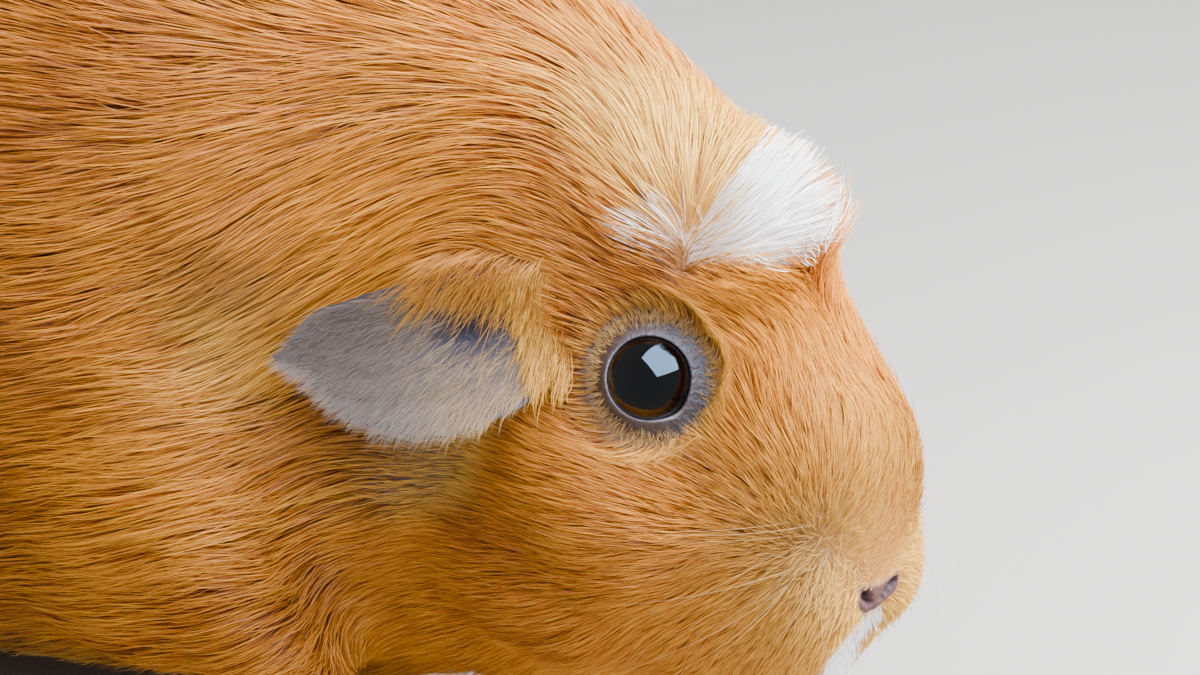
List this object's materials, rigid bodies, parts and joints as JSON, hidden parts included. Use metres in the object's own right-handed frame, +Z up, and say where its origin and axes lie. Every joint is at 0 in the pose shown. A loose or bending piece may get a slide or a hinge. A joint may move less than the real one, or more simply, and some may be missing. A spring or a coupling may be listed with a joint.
{
  "type": "guinea pig, still life-size model",
  "caption": "Still, life-size crested guinea pig standing low with its head turned and lowered: ginger coat, white crest on the forehead, drooping grey ears.",
  "frame": {"origin": "on the floor, under the middle of the animal's bounding box", "axes": "+X towards the muzzle, +Y towards the animal's left side, +Z up"},
  "size_m": [0.2292, 0.1016, 0.1101],
  "materials": {
    "coat": "short, straight, soft ginger fur with a white crest",
    "foot_skin": "bare pads and thin short fur",
    "ear_skin": "thin grey-mauve skin with fine down",
    "eye": "wet, nearly black",
    "claw": "dark horn, satin"
  },
  "bodies": {
    "root": {"head": "coat", "neck": "coat", "trunk": "coat", "foreleg_right": "coat", "foreleg_left": "coat", "hind_leg_right": "coat", "hind_leg_left": "coat", "fore_foot_right": "foot_skin", "fore_foot_left": "foot_skin", "hind_foot_right": "foot_skin", "hind_foot_left": "foot_skin", "ear_right": "ear_skin", "ear_left": "ear_skin", "eye_right": "eye", "eye_left": "eye", "claw_fore_right_1": "claw", "claw_fore_right_2": "claw", "claw_fore_right_3": "claw", "claw_fore_right_4": "claw", "claw_hind_right_1": "claw", "claw_hind_right_2": "claw", "claw_hind_right_3": "claw", "claw_fore_left_1": "claw", "claw_fore_left_2": "claw", "claw_fore_left_3": "claw", "claw_fore_left_4": "claw", "claw_hind_left_1": "claw", "claw_hind_left_2": "claw", "claw_hind_left_3": "claw"}
  },
  "joints": []
}
